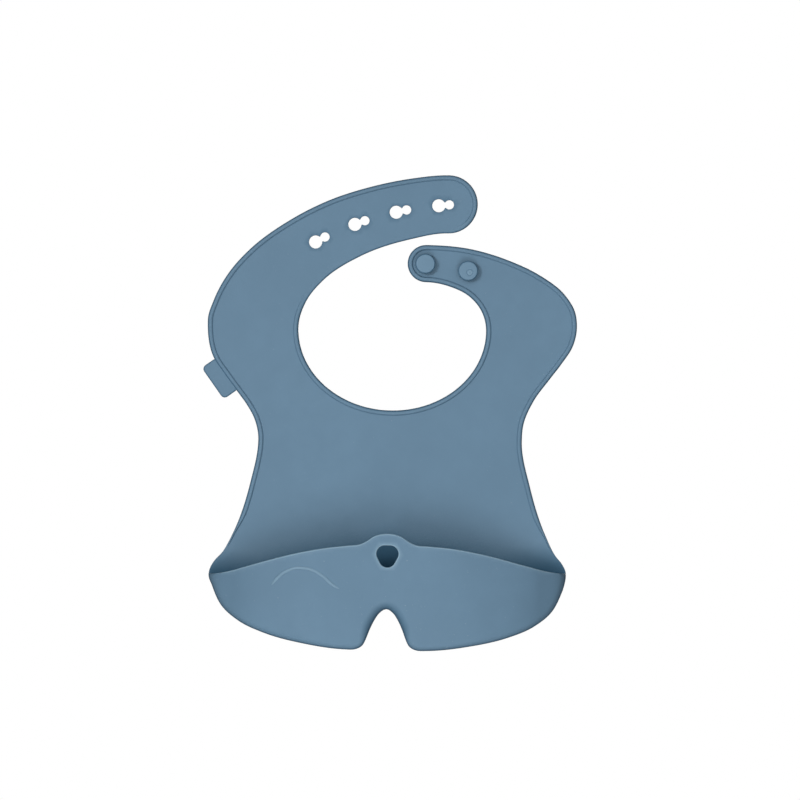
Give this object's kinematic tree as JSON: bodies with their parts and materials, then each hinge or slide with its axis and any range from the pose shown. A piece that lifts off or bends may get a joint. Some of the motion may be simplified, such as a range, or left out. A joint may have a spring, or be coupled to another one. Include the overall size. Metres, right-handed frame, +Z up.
{
  "type": "silicone bib",
  "caption": "One-piece moulded silicone feeding bib with a crumb-catching pocket, a raised rim, a side tab, and neck straps that fasten with mushroom studs in keyholes.",
  "frame": {"origin": "centre of the neck opening at its widest level, on the bib's back face", "axes": "+Z up as worn, front faces -Y, +X towards the stud strap"},
  "size_m": [0.2422, 0.043, 0.3066],
  "materials": {
    "silicone": "matte satin, dusty blue"
  },
  "bodies": {
    "chest": {"chest_panel": "silicone"},
    "skirt": {"skirt_panel": "silicone"},
    "pocket": {"pocket_front": "silicone", "pocket_floor": "silicone", "tongue": "silicone"},
    "keyhole_shoulder": {"keyhole_strap": "silicone"},
    "keyhole_end": {"keyhole_strap_tip": "silicone"},
    "stud_shoulder": {"stud_strap": "silicone", "outer_stud": "silicone", "inner_stud": "silicone"},
    "tab": {"side_tab": "silicone"}
  },
  "joints": [
    {"name": "waist_fold", "type": "hinge", "parent": "chest", "child": "skirt", "pos_m": [0, -0.0009, -0.072], "axis": [-1, 0, 0], "range_deg": [-60, 120], "stiffness_Nm_per_rad": 0.3},
    {"name": "pocket_open", "type": "hinge", "parent": "skirt", "child": "pocket", "pos_m": [0, -0.0018, -0.2058], "axis": [1, 0, 0], "range_deg": [0, 25], "stiffness_Nm_per_rad": 0.12, "springref_deg": -17.19},
    {"name": "keyhole_strap_bend", "type": "hinge", "parent": "chest", "child": "keyhole_shoulder", "pos_m": [-0.09, -0.0009, 0], "axis": [-1, 0, 0], "range_deg": [-90, 100], "stiffness_Nm_per_rad": 0.15},
    {"name": "keyhole_strap_curl", "type": "hinge", "parent": "keyhole_shoulder", "child": "keyhole_end", "pos_m": [-0.0685, -0.0009, 0.043], "axis": [-0.797, 0, 0.604], "range_deg": [-60, 60], "stiffness_Nm_per_rad": 0.08},
    {"name": "stud_strap_bend", "type": "hinge", "parent": "chest", "child": "stud_shoulder", "pos_m": [0.09, -0.0009, 0], "axis": [-1, 0, 0], "range_deg": [-90, 100], "stiffness_Nm_per_rad": 0.12},
    {"name": "side_tab_flex", "type": "hinge", "parent": "chest", "child": "tab", "pos_m": [-0.1082, -0.0009, -0.0315], "axis": [0.5897, 0, -0.8076], "range_deg": [-60, 60], "stiffness_Nm_per_rad": 0.01}
  ]
}
